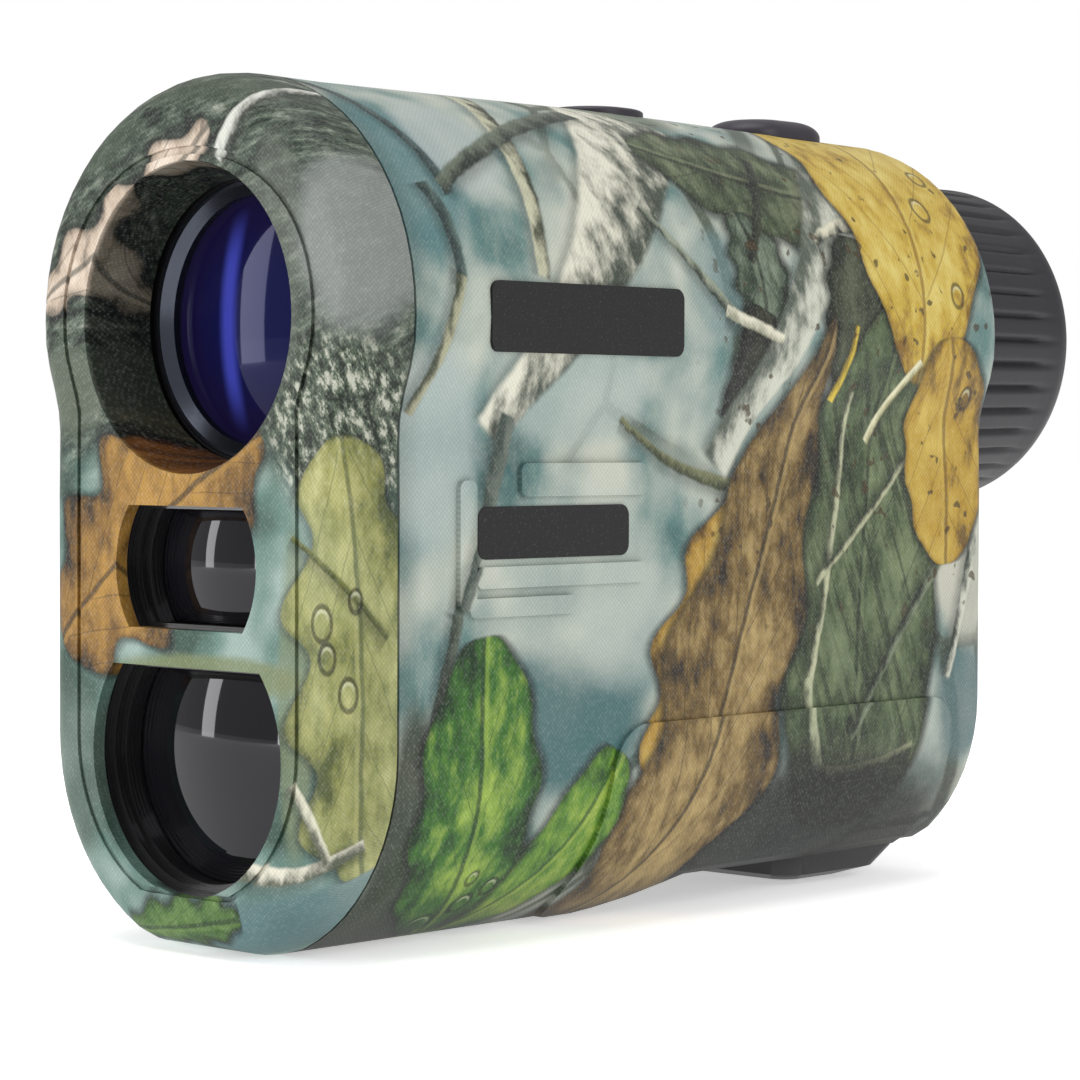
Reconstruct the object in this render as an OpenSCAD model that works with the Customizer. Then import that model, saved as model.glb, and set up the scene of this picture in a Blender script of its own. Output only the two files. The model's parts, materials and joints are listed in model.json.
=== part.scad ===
// Hand-held laser rangefinder: a sighting tube on top, a laser emitter and a
// receiver under it, a vertical battery at the back and two buttons on top.
// +Y runs from the front rim to the eyecup, +Z is up, +X is the labelled side.
// The origin is on the ground, under the middle of the whole instrument.

/* [Body] */
// Length from the front rim to the back of the eyecup
overall_l = 107; // [104:0.5:110]
// Height of the sighting axis above the ground
axis_h = 53; // [52:0.5:54]
// Radius of the round top of the body, about the sighting axis
top_r = 20.6; // [20.2:0.1:21]
// How much the top circle shrinks towards the back
top_taper = 0.8; // [0:0.1:1.2]
// Half width of the lower body at the front
low_w = 18.7; // [18.5:0.1:19]
// How much the lower body narrows towards the back, on each side
low_taper = 0.8; // [0:0.1:1]
// Height of the centre of the round bottom above the ground
low_h = 17.6; // [17.4:0.1:17.9]
// Thickness of the moulded walls
wall = 1.8; // [1.4:0.1:2.2]
// Where the body ends, measured from the front rim
body_end = 89; // [88.5:0.5:89]
// Height of the raised floor under the back half
heel_h = 3.4; // [3.2:0.1:3.6]

/* [Front bezel] */
// Depth of the bezel, from the rim to the seam
bezel_d = 6.4; // [6.2:0.1:6.6]
// How far the front face lies inside the body's outline
bezel_inset = 4.1; // [3.8:0.1:4.2]
// How much more the front face lies inside the outline at the top
bezel_crown = 0.35; // [0:0.05:0.4]
// Mouth radius of the sighting funnel
funnel_r = 13; // [12.4:0.1:13]
// Depth of the sighting lens behind the rim
lens_depth = 7; // [6.9:0.1:7.1]
// Height of the emitter window's centre above the ground
emitter_h = 32.2; // [32.1:0.05:32.3]
// Radius of the emitter window
emitter_r = 8.8; // [8.6:0.1:8.9]
// Half height of the emitter window between its flats
emitter_half = 5.15; // [5.05:0.05:5.2]
// Height of the receiver window's centre above the ground
receiver_h = 16.5; // [16.4:0.1:16.6]
// Radius of the receiver window
receiver_r = 11.8; // [11.7:0.1:11.9]
// Height of the receiver window's flat above its centre
receiver_flat = 7.4; // [7.2:0.1:7.5]
// Depth of the window ledges behind the rim
window_depth = 1.2; // [1:0.1:1.4]

/* [Sighting optics] */
// Outer radius of the metal ring that holds the sighting lens
lens_ring_r = 11.8; // [11.6:0.1:11.9]
// Radius of the sighting lens
lens_r = 10.9; // [10.7:0.1:11]
// Radius of curvature of the sighting lens' front face
lens_curve = 38; // [34:1:44]

/* [Eyepiece] */
// Outer radius of the focusing ring at the body
focus_r = 16.6; // [16:0.1:17]
// Outer radius of the focusing ring next to the eyecup
focus_r_back = 16.2; // [15.8:0.1:16.4]

/* [Buttons] */
// Distance from the front rim to the middle of the mode button
mode_y = 50.5; // [50:0.5:52]
// Distance from the front rim to the middle of the measuring button
measure_y = 75.5; // [75:0.5:76.5]
// Half length of the mode button along the body
mode_a = 4.8; // [4.2:0.1:5]
// Half length of the measuring button along the body
measure_a = 6.4; // [5.8:0.1:6.8]
// Half width of both buttons across the body
button_b = 4.2; // [3.6:0.1:4.2]
// Travel of a button
button_travel = 0.7; // [0.4:0.1:0.9]

/* [Battery] */
// Radius of the lithium cell
cell_r = 7.8; // [7.8:0.1:7.8]
// Length of the lithium cell
cell_l = 27; // [27:0.5:27]
// Distance from the front rim to the middle of the cell
cell_y = 76; // [75.5:0.5:76.5]

/* [Hidden] */
$fn = 48;

half_l = overall_l / 2;
clear = 0.35;            // gap round a moving piece
shell = 0.9;             // how far a barrel stands outside its window
running = 0.05;          // radial gap of a pin in its bore
low_z = low_h - axis_h;  // centre of the round bottom, from the sighting axis
neck_top = -2;           // the top circle starts to blend into the side here
neck_low = -12;          // and the side is straight from here down
heel_start = 39;         // the floor starts to rise here
heel_full = 51;          // and is level again from here
plate_rise = 0.15;       // the upper label stands this far out of the housing
seam_gap = 0.25;         // width of the groove between bezel and housing
tail_round = 2.4;          // rounding of the body's back edge
corner_power = 2.8;      // sharpness of the bezel's rounded edge
facet = 6;               // step of the outline's arcs, in degrees
eps = 0.01;

// ---- Outline of the body -------------------------------------------------
function smooth(t) = t <= 0 ? 0 : t >= 1 ? 1 : t * t * (3 - 2 * t);

// Sizes of the section at a distance y behind the rim
function section_top(y) = top_r - plate_rise * smooth((y - bezel_d) / 6)
    - top_taper * smooth((y - 45) / 45);
function section_low(y) = low_w - low_taper * smooth((y - 8) / 85);
function section_floor(y) = heel_h * smooth((y - heel_start) / (heel_full - heel_start));

// Half an outline, from the top down: the top circle, a slight neck, the
// straight side and the round bottom, which the floor cuts flat
function half_outline(y, inset) =
    let (r = section_top(y) - inset, w = section_low(y) - inset,
         floor_z = section_floor(y) + inset - axis_h)
    concat(
        [for (a = [90:-facet:-30])
            let (s = smooth((r * sin(a) - neck_low) / (neck_top - neck_low)))
            [s * r * cos(a) + (1 - s) * w,
                r * sin(a) - bezel_crown * max(inset, 0) * (y < bezel_d ? pow(max(sin(a), 0), 2) : 0)]],
        [[w, neck_low - 3]],
        [for (a = [0:-facet:-90])
            [w * cos(a), max(low_z + w * sin(a), floor_z)]]);

// The whole outline as a ring of points in the plane y
function ring(y, inset) =
    let (half = half_outline(y, inset), n = len(half))
    concat(
        [for (p = half) [p[0], y - half_l, p[1] + axis_h]],
        [for (i = [n - 2:-1:1]) [-half[i][0], y - half_l, half[i][1] + axis_h]]);

// A closed solid through sections [y, inset], front to back
module loft(sections) {
    rings = [for (s = sections) ring(s[0], s[1])];
    n = len(rings[0]);
    m = len(rings);
    polyhedron(
        points = [for (r = rings) for (p = r) p],
        faces = concat(
            [[for (i = [0:n - 1]) i]],
            [for (j = [0:m - 2]) for (i = [0:n - 1])
                let (a = j * n + i, b = j * n + (i + 1) % n)
                [a, a + n, b]],
            [for (j = [0:m - 2]) for (i = [0:n - 1])
                let (a = j * n + i, b = j * n + (i + 1) % n)
                [b, a + n, b + n]],
            [[for (i = [n - 1:-1:0]) (m - 1) * n + i]]));
}

// Inset of the bezel's side at a depth y: a quarter of a superellipse
function bezel_side(y) =
    bezel_inset * (1 - pow(1 - pow(1 - y / bezel_d, corner_power), 1 / corner_power));

// Inset of the housing's back edge at y: a quarter circle
function tail_side(y) =
    y < body_end - tail_round ? 0
    : tail_round - sqrt(pow(tail_round, 2) - pow(y - body_end + tail_round, 2));

// ---- Small helpers -------------------------------------------------------
// Puts a child that is built along +Z along +Y instead, from depth y
module along(y, z = axis_h, x = 0) {
    translate([x, y - half_l, z]) rotate([-90, 0, 0]) children();
}

module rod(y0, y1, r, z = axis_h, x = 0) {
    along(y0, z, x) cylinder(h = y1 - y0, r = r);
}

module tube(y0, y1, r_out, r_in, z = axis_h, x = 0) {
    along(y0, z, x) difference() {
        cylinder(h = y1 - y0, r = r_out);
        translate([0, 0, -1]) cylinder(h = y1 - y0 + 2, r = r_in);
    }
}

module cone(y0, y1, r0, r1, z = axis_h) {
    along(y0, z) cylinder(h = y1 - y0, r1 = r0, r2 = r1);
}

module block(x0, x1, y0, y1, z0, z1) {
    translate([x0, y0 - half_l, z0]) cube([x1 - x0, y1 - y0, z1 - z0]);
}

// A lens on the axis at height z: a drum whose front face is a sphere
module lens(y, r, curve, thick, z = axis_h) {
    sag = curve - sqrt(curve * curve - r * r);
    along(y, z) rotate_extrude()
        polygon(concat(
            [[0, thick], [0, 0]],
            [for (i = [1:12])
                let (x = r * i / 12)
                [x, curve - sqrt(curve * curve - x * x)]],
            [[r, max(thick, sag + 0.6)]]));
}

// An oval prism, half length a along Y and half width b along X
module oval(a, b, h) {
    linear_extrude(h) {
        square([2 * b, 2 * (a - b)], center = true);
        for (s = [-1, 1]) translate([0, s * (a - b)]) circle(r = b);
    }
}

// A rectangle with round corners, as two squares and four circles
module round_rect(low, high, r) {
    translate([low[0] + r, low[1]]) square([high[0] - low[0] - 2 * r, high[1] - low[1]]);
    translate([low[0], low[1] + r]) square([high[0] - low[0], high[1] - low[1] - 2 * r]);
    for (x = [low[0] + r, high[0] - r], y = [low[1] + r, high[1] - r])
        translate([x, y]) circle(r = r);
}

// A flat plate with round corners, in plan
module round_plate(x, y0, y1, z0, z1, r) {
    translate([0, 0, z0]) linear_extrude(z1 - z0)
        round_rect([-x, y0 - half_l], [x, y1 - half_l], r);
}

// The emitter's outline: a circle cut by two flats, larger by grow
module emitter_slug(y0, y1, grow = 0) {
    intersection() {
        rod(y0, y1, emitter_r + grow, emitter_h);
        block(-20, 20, y0, y1, emitter_h - emitter_half - grow, emitter_h + emitter_half + grow);
    }
}

// The receiver's outline: a circle cut by a flat at its top
module receiver_slug(y0, y1, grow = 0) {
    intersection() {
        rod(y0, y1, receiver_r + grow, receiver_h);
        block(-20, 20, y0, y1, 0, receiver_h + receiver_flat + grow);
    }
}

// ---- Shells --------------------------------------------------------------
bezel_steps = 9;
lip_in = 4.75;           // the groove behind the rim's lip, from the outline
lip_wide = 0.5;
lip_deep = 0.3;
module front_bezel() {
    color("darkolivegreen") difference() {
        loft([for (i = [0:bezel_steps])
            let (y = bezel_d * pow(i / bezel_steps, 2))
            [y, bezel_side(y)]]);
        // shallow groove that sets off the rim's lip
        difference() {
            loft([[-0.1, lip_in], [lip_deep, lip_in]]);
            loft([[-0.2, lip_in + lip_wide], [lip_deep + 0.1, lip_in + lip_wide]]);
        }
        // sighting funnel
        cone(-eps, bezel_d + eps, funnel_r, lens_ring_r + 0.1);
        // windows of the emitter and the receiver, and the seats of their barrels
        emitter_slug(-1, window_depth + eps);
        emitter_slug(window_depth, bezel_d + 1, shell);
        receiver_slug(-1, window_depth + eps);
        receiver_slug(window_depth, bezel_d + 1, shell);
    }
}

house_y = bezel_d + seam_gap;
door_y0 = 66.6;          // front edge of the battery door's hole
door_y1 = 85;            // back edge
door_x = 11;             // half width of the hole
door_corner = 3;         // corner radius of the hole
hinge_y = 65.4;          // the door's hinge pin, from the front rim
hinge_h = heel_h + 0.9;  // and above the ground
pin_r = 0.6;
knuckle_r = 1.4;
knuckle_x = 6;
plate_depth = 0.7;       // thickness of the label plates
upper_plate_x = top_r;   // outer faces of the two plates
lower_plate_x = low_w + 0.05;

module upper_plate() {
    plate_bar([15.4, 39.6], [axis_h - 2.8, axis_h + 3.1], upper_plate_x);
}

module lower_plate() {
    plate_bar([15.7, 34.5], [axis_h - 20, axis_h - 15.6], lower_plate_x);
}

// A plate with round corners that spans [y0, y1] and [z0, z1], its face at x
module plate_bar(span_y, span_z, x) {
    translate([x - plate_depth, 0, 0]) rotate([90, 0, 90]) linear_extrude(plate_depth)
        round_rect([span_y[0] - half_l, span_z[0]], [span_y[1] - half_l, span_z[1]], 1);
}

// Screw bosses, two beside the sighting tube and two beside the receiver
screw_spots = [[14.2, axis_h + 9], [14.9, 25.5]];
module at_screws() {
    for (s = [-1, 1], p = screw_spots) translate([s * p[0], 0, p[1]]) children();
}

module button_hole(y, a) {
    translate([0, y - half_l, axis_h + 10]) oval(a + clear, button_b + clear, 15);
}

// Raised frame round the lower label: a rail, a pad and two ribs
relief = 0.5;
module side_relief() {
    intersection() {
        loft([[bezel_d + 3, -relief], [40, -relief]]);
        union() {
            side_bar([13.2, 15.2], [-24.2, -13.4]);
            side_bar([20.6, 36.6], [-14.8, -12]);
            side_bar([15.2, 36.6], [-22.4, -20.6]);
            side_bar([14.4, 27.6], [-24.8, -23.2]);
        }
    }
}

// One bar of the frame, its corners rounded
module side_bar(span_y, span_z) {
    translate([16, 0, axis_h]) rotate([90, 0, 90]) linear_extrude(6)
        round_rect([span_y[0] - half_l, span_z[0]], [span_y[1] - half_l, span_z[1]], 0.7);
}

// Raised saddle round the lower back of the body
pod_y0 = 33;
pod_y1 = 83;
pod_rise = 0.4;
module side_pod() {
    intersection() {
        loft([for (y = [30, heel_start, 42, 45, 48, heel_full, 86]) [y, -pod_rise]]);
        translate([-25, 0, 0]) rotate([90, 0, 90]) linear_extrude(50)
            round_rect([pod_y0 - half_l, 0], [pod_y1 - half_l, low_h + 0.6], 4);
    }
}

module main_housing() {
    color("olivedrab") difference() {
        union() {
            difference() {
                union() {
                    loft(concat(
                        [for (y = [house_y, 13, 20, 34, heel_start, 42, 45, 48, heel_full, 60, 72])
                            [y, 0]],
                        [for (i = [0:4])
                            let (y = body_end - tail_round + tail_round * sin(i * 22.5))
                            [y, tail_side(y)]]));
                    side_relief();
                    side_pod();
                }
                loft([for (y = [bezel_d - 1, 34, heel_start, 42, 48, heel_full, 72, 84, body_end - wall])
                    [y, y < 85 ? wall : wall + 1.2]]);
            }
            intersection() {
                at_screws() rod(20.05, 30, 2.2, 0);
                loft([[19, 0.5], [34, 0.5]]);
            }
        }
        at_screws() rod(19, 27, 0.8, 0);
        rod(body_end - 4, body_end + 1, tube_r + 0.1);
        button_hole(mode_y, mode_a);
        button_hole(measure_y, measure_a);
        upper_plate();
        lower_plate();
        round_plate(door_x, door_y0, door_y1, -1, 10, door_corner);
        block(-knuckle_x - clear, knuckle_x + clear, hinge_y - knuckle_r - clear, door_y0 + 1, -1, 10);
        translate([-8.5, hinge_y - half_l, hinge_h]) rotate([0, 90, 0]) cylinder(h = 17, r = pin_r);
    }
}

module bezel_seal() {
    color("black") difference() {
        loft([[bezel_d, 0.5], [house_y, 0.5]]);
        loft([[bezel_d - 1, 1.7], [house_y + 1, 1.7]]);
    }
}

module upper_label() {
    color("black") upper_plate();
}

module lower_label() {
    color("black") lower_plate();
}

// ---- Sighting tube -------------------------------------------------------
barrel_r = 13.2;
module objective_barrel() {
    color("dimgray") along(lens_depth) rotate_extrude() polygon([
        [lens_ring_r, 0], [barrel_r, 0], [barrel_r, 34.6], [10.2, 34.6],
        [10.2, 8.8], [lens_r + 0.05, 8.8], [lens_r + 0.05, 2.3], [lens_ring_r, 2.3]]);
}

ring_lip = 10.6;         // clear radius of the lens ring
module objective_ring() {
    color("slategray") along(lens_depth + 0.1) rotate_extrude() polygon([
        [ring_lip, 2.1], [ring_lip, 0.9], [ring_lip + 0.8, 0], [lens_ring_r - 0.05, 0],
        [lens_ring_r - 0.05, 2.1]]);
}

lens_vertex = lens_depth + 0.75;
module objective_front_lens() {
    color("midnightblue") lens(lens_vertex, lens_r, lens_curve, 4.4);
}

module objective_rear_lens() {
    color("lightblue") rod(lens_vertex + 4.45, lens_vertex + 7.2, lens_r);
}

// ---- Emitter -------------------------------------------------------------
emitter_lens_r = 7.9;
emitter_lens_y = 2.8;    // vertex of its front face, behind the rim
emitter_lens_curve = 19;
emitter_lens_half = emitter_half - 0.35; // the lens is cut flat above and below
emitter_back = 26;       // back end of the emitter's barrel
bore_gap = 0.05;         // between a lens and its seat
module emitter_barrel() {
    color("black") difference() {
        emitter_slug(window_depth, emitter_back, shell);
        emitter_slug(0, 2.2);
        intersection() {
            union() {
                rod(0, 3.2, emitter_lens_r + 0.45, emitter_h);
                rod(0, 10, emitter_lens_r + bore_gap, emitter_h);
            }
            block(-20, 20, 0, 11, emitter_h - emitter_lens_half - bore_gap,
                emitter_h + emitter_lens_half + bore_gap);
        }
        rod(0, emitter_back + 1, 4.6, emitter_h);
    }
}

module emitter_lens() {
    color("lightsteelblue") intersection() {
        lens(emitter_lens_y, emitter_lens_r, emitter_lens_curve, 4.4, emitter_h);
        block(-20, 20, 0, 20, emitter_h - emitter_lens_half, emitter_h + emitter_lens_half);
    }
}

module laser_diode() {
    color("gold") {
        rod(20.5, 24.5, 2.8, emitter_h);
        rod(24.5, 26, 4.5, emitter_h);
        for (x = [-1.3, 0, 1.3]) rod(26, 30, 0.25, emitter_h, x);
    }
}

module laser_board() {
    color("darkgreen") block(-8.5, 8.5, 30, 31.2, emitter_h - 6, emitter_h + 5);
}

// ---- Receiver ------------------------------------------------------------
receiver_lens_r = 10.9;
receiver_lens_y = 2.6;   // vertex of its front face, behind the rim
receiver_lens_curve = 30;
receiver_cut = receiver_flat - 0.35; // the lens is cut flat above
receiver_back = 34;      // back end of the receiver's barrel
module receiver_barrel() {
    color("black") difference() {
        receiver_slug(window_depth, receiver_back, shell);
        receiver_slug(0, 2);
        intersection() {
            union() {
                rod(0, 3, receiver_lens_r + 0.4, receiver_h);
                rod(0, 9, receiver_lens_r + bore_gap, receiver_h);
                cone(9, 32, 10, 4.6, receiver_h);
            }
            block(-20, 20, 0, 40, 0, receiver_h + receiver_cut + bore_gap);
        }
        rod(31, receiver_back + 1, 4.5, receiver_h);
    }
}

module receiver_lens() {
    color("lightsteelblue") intersection() {
        lens(receiver_lens_y, receiver_lens_r, receiver_lens_curve, 5, receiver_h);
        block(-20, 20, 0, 20, 0, receiver_h + receiver_cut);
    }
}

module light_detector() {
    color("silver") {
        rod(31.5, 33.5, 3, receiver_h);
        rod(33.5, 34.5, 4.45, receiver_h);
    }
}

// ---- Frame, prisms and display -------------------------------------------
frame_gap = wall + 0.4;
module optical_frame() {
    color("dimgray") difference() {
        union() {
            loft([[17, frame_gap], [20, frame_gap]]);
            intersection() {
                loft([[62, frame_gap], [65, frame_gap]]);
                block(-20, 20, 60, 66, 37.2, 80);
            }
            for (s = [-1, 1]) block(min(s * 14.2, s * 15.6), max(s * 14.2, s * 15.6),
                19.5, 62.5, axis_h - 9, axis_h - 3);
        }
        rod(16, 21, barrel_r);
        emitter_slug(16, 21, shell);
        receiver_slug(16, 21, shell);
        rod(60, 66, 9.5);
        at_screws() rod(16, 21, 1, 0);
        // clear of the button seal
        block(-9, 9, 60, 66, axis_h + 14, 80);
    }
}

module wedge(points) {
    translate([-9, -half_l, axis_h]) rotate([90, 0, 90]) linear_extrude(18) polygon(points);
}

module front_prism() {
    color("lightcyan") wedge([[44, -9], [57, -9], [50, 9], [44, 9]]);
}

module rear_prism() {
    color("lightcyan") wedge([[58, -9], [61.5, -9], [61.5, 9], [51, 9]]);
}

module reticle_display() {
    color("lightgray") block(-7, 7, 65.1, 66.4, axis_h - 7, axis_h + 7);
}

module frame_screws() {
    color("silver") at_screws() {
        rod(15.4, 17, 1.4, 0);
        rod(17, 26.9, 0.8, 0);
    }
}

// ---- Eyepiece ------------------------------------------------------------
tube_r = 13;
cell_out_r = 11.3;
module eyepiece_tube() {
    color("dimgray") difference() {
        union() {
            rod(66.6, 98.4, tube_r);
            rod(84.4, body_end - wall, 15);
        }
        rod(66, 99, cell_out_r + 2 * running);
    }
}

module field_lens() {
    color("lightblue") lens(72, cell_out_r + running, 40, 4.5);
}

module eyepiece_seal() {
    color("black") tube(body_end, body_end + 0.5, 14.6, tube_r);
}

module eye_lens_cell() {
    color("dimgray") tube(88, 98.8, cell_out_r, 10.25);
}

module eye_lens() {
    color("lightblue") lens(92.4, 10.2, 30, 4.6);
}

ring_y0 = body_end + 0.85;
ring_y1 = 101.6;
module focus_ring() {
    color("#2b272e") along(ring_y0) rotate_extrude() polygon([
        [tube_r + running, 0], [focus_r - 0.5, 0], [focus_r, 0.5],
        [focus_r_back, ring_y1 - ring_y0], [tube_r + running, ring_y1 - ring_y0]]);
}

cup_round = 3.3;
module eyecup() {
    depth = overall_l - ring_y1;
    color("#2b272e") along(ring_y1) rotate_extrude() polygon(concat(
        [[12.4, 0], [focus_r_back, 0]],
        [for (a = [0:10:90])
            [focus_r_back - cup_round * (1 - cos(a)), depth - cup_round + cup_round * sin(a)]],
        [[11.6, depth], [10.8, depth - 0.8], [10.8, 1.6], [12.4, 1.6]]));
}

// ---- Buttons -------------------------------------------------------------
button_low = 68.8;       // underside of both buttons' flanges
seal_top = button_low - button_travel - 0.4;
module button(y, a, crown, rise) {
    body_top = axis_h + section_top(y);
    translate([0, y - half_l, 0]) {
        translate([0, 0, button_low]) oval(a + 0.8, button_b + 0.8, 0.7);
        translate([0, 0, button_low + 0.7]) oval(a, button_b, body_top - button_low - 0.7);
        translate([0, 0, body_top]) hull() {
            oval(a, button_b, 0.02);
            oval(a - 0.3, button_b - 0.3, rise * 0.5);
            oval(a - crown, button_b - crown, rise);
        }
    }
}

module mode_button() {
    color("#2b242d") button(mode_y, mode_a, 1.2, 0.4);
}

module measure_button() {
    color("#2b242d") button(measure_y, measure_a, 2.4, 1.5);
}

module button_seal() {
    color("dimgray") block(-7.5, 7.5, 42.5, 84, seal_top - 0.5, seal_top);
}

module button_switches() {
    color("silver") for (y = [mode_y, measure_y]) {
        block(-2.6, 2.6, y - 2.6, y + 2.6, 66.1, 66.9);
        translate([0, y - half_l, 66.9]) cylinder(h = 0.3, r = 1.3);
    }
}

// ---- Electronics ---------------------------------------------------------
board_z = 34.2;
module main_board() {
    color("darkgreen") block(-13.5, 13.5, 36, 65, board_z, board_z + 1.2);
}

module board_parts() {
    color("#202022") {
        block(-5, 5, 40, 50, board_z - 1.4, board_z);
        block(-11.5, -7, 43, 49, board_z - 1.1, board_z);
        block(7, 12, 53, 58, board_z - 2.2, board_z);
        for (x = [-9, -5, -1]) translate([x, 58 - half_l, board_z - 4.5]) cylinder(h = 4.5, r = 1.6);
    }
}

// ---- Battery -------------------------------------------------------------
cell_z = heel_h + 5;     // underside of the cell
bay_top = cell_z + cell_l + 0.8;
module upright(z0, z1, r) {
    translate([0, cell_y - half_l, z0]) cylinder(h = z1 - z0, r = r);
}

module battery_tube() {
    color("#202022") difference() {
        upright(heel_h + 3.8, bay_top + 1.2, cell_r + 1.3);
        upright(5, bay_top, cell_r + 0.2);
    }
}

module battery() {
    color("goldenrod") {
        upright(cell_z, cell_z + cell_l - 0.8, cell_r);
        upright(cell_z + cell_l - 0.8, cell_z + cell_l, 3);
    }
}

module battery_top_contact() {
    color("silver") upright(cell_z + cell_l, bay_top, 5);
}

door_top = heel_h + wall;
door_edge = heel_h - 0.4; // where the door's slab ends and its dome begins
module battery_door() {
    color("#18181a") difference() {
        union() {
            round_plate(door_x - clear, door_y0 + 0.6, door_y1 - clear, door_edge, door_top,
                door_corner - clear);
            hull() {
                round_plate(door_x - clear, door_y0 + 0.6, door_y1 - clear, door_edge - 0.1,
                    door_edge, door_corner - clear);
                round_plate(door_x - 1.6, door_y0 + 2, door_y1 - 1.6, 0.9, 1, door_corner);
                round_plate(door_x - 4.5, door_y0 + 5, door_y1 - 4.5, 0, 0.1, door_corner - 1);
            }
            block(-knuckle_x, knuckle_x, hinge_y, door_y0 + 1, hinge_h - 0.7, hinge_h + 0.9);
            translate([-knuckle_x, hinge_y - half_l, hinge_h]) rotate([0, 90, 0])
                cylinder(h = 2 * knuckle_x, r = knuckle_r);
        }
        translate([-knuckle_x - 1, hinge_y - half_l, hinge_h]) rotate([0, 90, 0])
            cylinder(h = 2 * knuckle_x + 2, r = pin_r + running);
    }
}

module door_hinge_pin() {
    color("silver") translate([-8.5, hinge_y - half_l, hinge_h]) rotate([0, 90, 0])
        cylinder(h = 17, r = pin_r);
}

module door_contact() {
    color("gold") {
        upright(door_top, door_top + 0.5, 4);
        upright(door_top + 0.5, cell_z - clear, 2.4);
    }
}

module door_seal() {
    color("dimgray") difference() {
        round_plate(9.2, 69.2, 83, door_top, door_top + 0.5, 2.6);
        round_plate(8, 70.4, 81.8, door_top - 1, door_top + 1, 1.6);
    }
}

// ---- Strap lug -----------------------------------------------------------
lug_x = -11;
lug_h = 26;
lug_r = 2.9;
lug_thick = 3;
lug_y = body_end + lug_r + running;
module strap_lug() {
    color("dimgray") translate([lug_x - lug_thick / 2, -half_l, 0]) difference() {
        hull() {
            translate([0, lug_y, lug_h]) rotate([0, 90, 0]) cylinder(h = lug_thick, r = lug_r);
            translate([0, body_end, lug_h - 4.6]) cube([lug_thick, 0.5, 9.2]);
        }
        translate([-1, lug_y, lug_h]) rotate([0, 90, 0]) cylinder(h = lug_thick + 2, r = 1.7);
    }
}

front_bezel();
main_housing();
bezel_seal();
upper_label();
lower_label();
objective_barrel();
objective_ring();
objective_front_lens();
objective_rear_lens();
emitter_barrel();
emitter_lens();
laser_diode();
receiver_barrel();
receiver_lens();
light_detector();
optical_frame();
front_prism();
rear_prism();
reticle_display();
frame_screws();
eyepiece_tube();
field_lens();
eye_lens_cell();
eye_lens();
eyepiece_seal();
focus_ring();
eyecup();
measure_button();
mode_button();
button_seal();
button_switches();
main_board();
board_parts();
laser_board();
battery_tube();
battery();
battery_top_contact();
battery_door();
door_contact();
door_seal();
door_hinge_pin();
strap_lug();
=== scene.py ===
import json
import math

import bmesh
import bpy
import numpy as np
from bpy.props import FloatProperty, FloatVectorProperty, IntProperty, PointerProperty
from mathutils import Matrix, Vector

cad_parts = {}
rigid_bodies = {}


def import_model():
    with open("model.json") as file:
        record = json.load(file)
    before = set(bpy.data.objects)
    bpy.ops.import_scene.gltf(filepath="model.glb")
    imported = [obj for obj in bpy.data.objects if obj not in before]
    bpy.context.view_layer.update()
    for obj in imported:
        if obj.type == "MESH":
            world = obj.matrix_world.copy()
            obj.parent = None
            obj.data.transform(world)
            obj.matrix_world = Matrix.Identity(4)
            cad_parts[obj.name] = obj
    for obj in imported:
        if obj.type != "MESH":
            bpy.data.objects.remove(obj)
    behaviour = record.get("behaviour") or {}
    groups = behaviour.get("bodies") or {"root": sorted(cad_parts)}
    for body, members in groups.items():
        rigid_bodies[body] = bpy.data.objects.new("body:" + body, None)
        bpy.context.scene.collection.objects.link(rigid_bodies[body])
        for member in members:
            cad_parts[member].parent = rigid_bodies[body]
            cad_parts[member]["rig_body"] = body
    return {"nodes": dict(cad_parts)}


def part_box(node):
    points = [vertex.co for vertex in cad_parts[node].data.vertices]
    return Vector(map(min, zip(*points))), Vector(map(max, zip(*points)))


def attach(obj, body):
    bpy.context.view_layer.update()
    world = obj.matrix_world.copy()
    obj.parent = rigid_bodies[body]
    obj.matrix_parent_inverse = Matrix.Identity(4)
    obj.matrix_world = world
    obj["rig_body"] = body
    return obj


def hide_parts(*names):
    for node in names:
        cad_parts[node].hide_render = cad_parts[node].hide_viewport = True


bl_info = {
    "name": "Laser rangefinder",
    "version": (1, 0, 0),
    "blender": (4, 5, 0),
    "location": "3D View > Sidebar > Rangefinder",
    "description": "Builds a hand-held laser rangefinder with a leaf and bark print",
    "category": "Object",
}

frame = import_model()

# Lengths in metres unless a name says mm. +Y runs from the front rim to the
# eyecup, +X is the labelled side and the origin is on the ground.
MM = 0.001
HALF_L = 53.5 * MM
AXIS_H = 53.0 * MM
LOW_H = 17.6 * MM

# An edge sharper than this stays crisp: on a CAD piece, and on a surface made here.
CAD_EDGE = math.radians(34)
SURFACE_EDGE = math.radians(40)

# Radius and front curve of the lenses, and the bores that pieces run on.
SIGHTING_CURVE = 60 * MM
EMITTER_R, EMITTER_CURVE = 7.9 * MM, 19 * MM
RECEIVER_R, RECEIVER_CURVE = 10.9 * MM, 30 * MM
RING_BORE = 13.05 * MM
CUP_SEAT, CUP_MOUTH = 12.4 * MM, 10.8 * MM
MODE_Y, MEASURE_Y = 50.5, 75.5  # the buttons' middles, in mm behind the front rim


def along(mm):
    """The Y of a place that many millimetres behind the front rim."""
    return mm * MM - HALF_L


def rgb(r, g, b):
    """A screen colour, 0 to 255, as linear light."""
    def one(c):
        c /= 255.0
        return c / 12.92 if c <= 0.04045 else ((c + 0.055) / 1.055) ** 2.4
    return (one(r), one(g), one(b), 1.0)


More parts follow.
